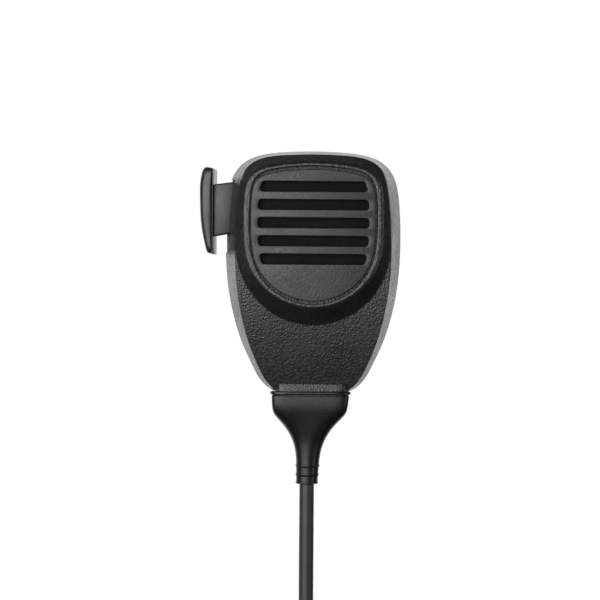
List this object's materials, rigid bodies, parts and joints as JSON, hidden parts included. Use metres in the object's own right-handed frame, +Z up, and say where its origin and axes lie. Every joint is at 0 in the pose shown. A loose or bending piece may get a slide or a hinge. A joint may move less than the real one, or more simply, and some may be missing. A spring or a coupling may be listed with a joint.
{
  "type": "hand microphone",
  "caption": "Palm-sized hand microphone with a raised slotted grille, a sprung push-to-talk bar, a hanger button, a rubber boot and a curly cord with a modular plug.",
  "frame": {"origin": "middle of the hanger button's head, on its axis", "axes": "+Z up along the case, away from the cord; the grille faces -Y; +Y out along the hanger button; +X on the side away from the push-to-talk bar"},
  "size_m": [0.0773, 0.051, 0.3139],
  "materials": {
    "case_plastic": "satin black ABS with a pebble grain",
    "bar_plastic": "satin black ABS, smooth",
    "inner_plastic": "plain black nylon",
    "plunger_plastic": "natural nylon",
    "cloth": "black acoustic cloth",
    "boot_rubber": "matte black rubber",
    "holder_rubber": "matte grey-black rubber",
    "cord_jacket": "matte black cord jacket",
    "tie_strap": "black hook-and-loop strap",
    "steel": "bright zinc-plated steel",
    "button_metal": "nickel-plated, turned",
    "capsule_metal": "satin",
    "board_green": "green solder resist",
    "parts_black": "black epoxy",
    "wire_colours": "coloured wire insulation",
    "plug_clear": "smoky clear polycarbonate",
    "contact_gold": "gold flash"
  },
  "bodies": {
    "mic": {"front_case": "case_plastic", "rear_case": "case_plastic", "grille_panel": "case_plastic", "ptt_switch": "inner_plastic", "cord_header": "inner_plastic", "header_plug": "inner_plastic", "cord_clamp": "inner_plastic", "grille_cloth": "cloth", "sound_foam": "cloth", "cord_boot": "boot_rubber", "plug_sleeve": "boot_rubber", "mic_holder": "holder_rubber", "cord_core": "cord_jacket", "cord_lead": "cord_jacket", "curly_cord": "cord_jacket", "cord_tail": "cord_jacket", "cord_tie": "tie_strap", "hanger_screw": "steel", "hanger_washer": "steel", "case_screws": "steel", "board_screws": "steel", "clamp_screws": "steel", "pivot_pin": "steel", "return_spring": "steel", "ground_strap": "steel", "hanger_button": "button_metal", "mic_capsule": "capsule_metal", "circuit_board": "board_green", "board_parts": "parts_black", "cord_wires": "wire_colours", "capsule_leads": "wire_colours", "plug_body": "plug_clear", "plug_contacts": "contact_gold"},
    "ptt_bar": {"ptt_knob": "bar_plastic", "ptt_lever": "inner_plastic"},
    "plunger": {"switch_plunger": "plunger_plastic"},
    "latch": {"plug_latch": "plug_clear"}
  },
  "joints": [
    {"name": "ptt_press", "type": "hinge", "parent": "mic", "child": "ptt_bar", "pos_m": [-0.0235, -0.022, -0.03], "axis": [0, 1, 0], "range_deg": [0, 5], "stiffness_Nm_per_rad": 0.9, "springref_deg": -6.88, "deforming": ["return_spring"]},
    {"name": "plunger_slide", "type": "slide", "parent": "mic", "child": "plunger", "axis": [1, 0, 0], "range_m": [0, 0.0016]},
    {"name": "latch_flex", "type": "hinge", "parent": "mic", "child": "latch", "pos_m": [-0.0078, 0.0064, -0.2505], "axis": [1, 0, 0], "range_deg": [0, 8], "stiffness_Nm_per_rad": 0.2}
  ],
  "couplings": [
    {"joint": "plunger_slide", "follows": "ptt_press", "m_per_rad": 0.018}
  ]
}
